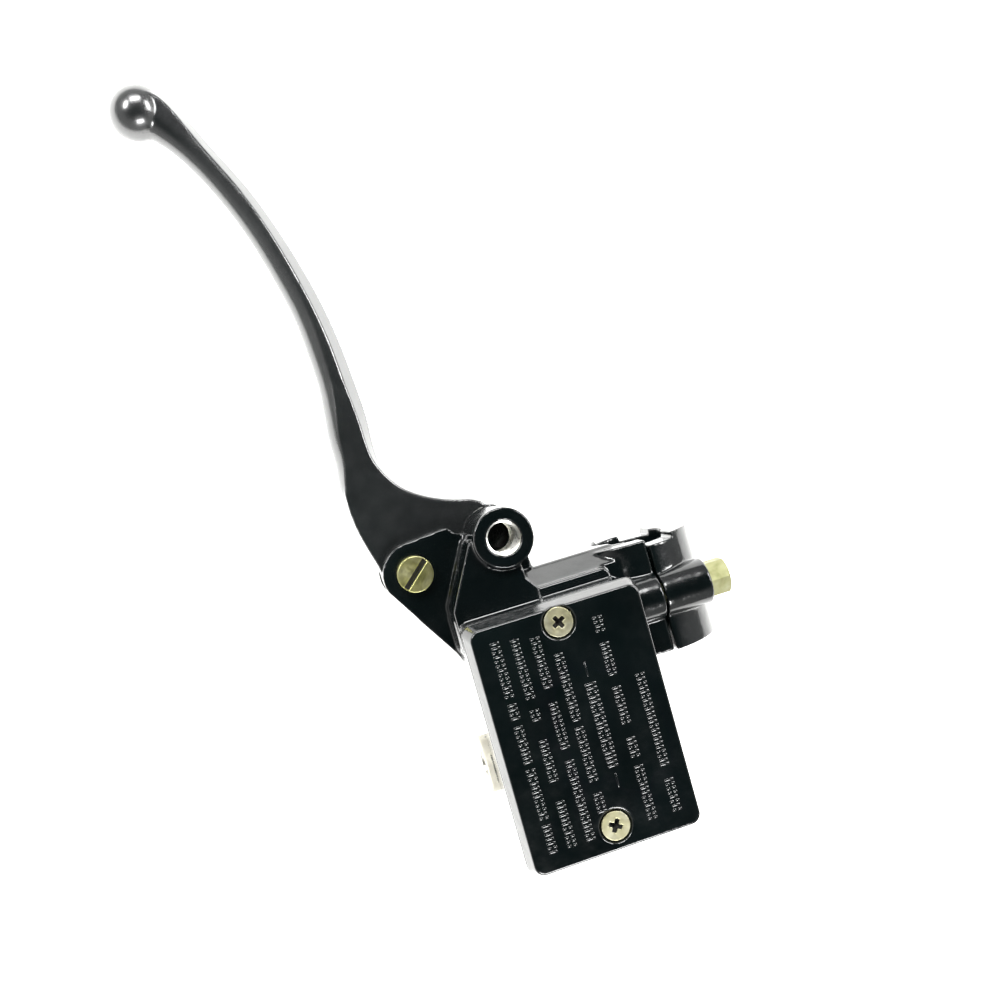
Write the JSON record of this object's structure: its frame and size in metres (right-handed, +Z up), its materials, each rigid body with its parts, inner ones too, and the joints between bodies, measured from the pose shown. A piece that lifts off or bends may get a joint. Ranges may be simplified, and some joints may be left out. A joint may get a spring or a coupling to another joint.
{
  "type": "motorcycle front brake master cylinder",
  "caption": "Right-hand front brake master cylinder with rectangular fluid reservoir, hinged lever, mirror boss and two-piece clamp for a 22 mm handlebar.",
  "frame": {"origin": "centre of the handlebar clamp bore, halfway along the clamp's width", "axes": "+X along the handlebar towards the lever's tip (rider's right), +Y forwards from the handlebar to the lever, +Z up through the reservoir lid"},
  "size_m": [0.2458, 0.1361, 0.061],
  "materials": {
    "black_paint": "gloss black paint over cast aluminium",
    "satin_black": "satin black coating over forged aluminium",
    "yellow_zinc": "pale yellow zinc plate",
    "stainless": "bright",
    "anodised_aluminium": "hard anodised",
    "bronze": "sintered",
    "black_rubber": "matt",
    "white_plastic": "matt",
    "clear_plastic": "clear"
  },
  "bodies": {
    "master_cylinder": {"body_casting": "black_paint", "clamp_cap": "black_paint", "clamp_bolts": "yellow_zinc", "reservoir_lid": "black_paint", "lid_screws": "yellow_zinc", "diaphragm": "black_rubber", "diaphragm_plate": "white_plastic", "splash_shield": "stainless", "sight_gasket": "black_rubber", "sight_lens": "clear_plastic", "sight_ring": "stainless", "return_spring": "stainless", "stop_washer": "stainless", "circlip": "stainless", "dust_boot": "black_rubber", "pivot_bolt": "yellow_zinc", "pivot_nut": "yellow_zinc"},
    "piston": {"piston": "anodised_aluminium", "primary_cup": "black_rubber", "secondary_cup": "black_rubber"},
    "lever": {"lever": "satin_black", "lever_bush": "bronze"}
  },
  "joints": [
    {"name": "lever_pivot", "type": "hinge", "parent": "master_cylinder", "child": "lever", "pos_m": [0.0261, 0.0665, 0], "axis": [0, 0, -1], "range_deg": [0, 24]},
    {"name": "piston_slide", "type": "slide", "parent": "master_cylinder", "child": "piston", "axis": [-1, 0, 0], "range_m": [0, 0.0103], "stiffness_N_per_m": 600, "springref_m": -0.012, "deforming": ["return_spring", "dust_boot"]}
  ],
  "couplings": [
    {"joint": "piston_slide", "follows": "lever_pivot", "m_per_rad": 0.024321}
  ]
}
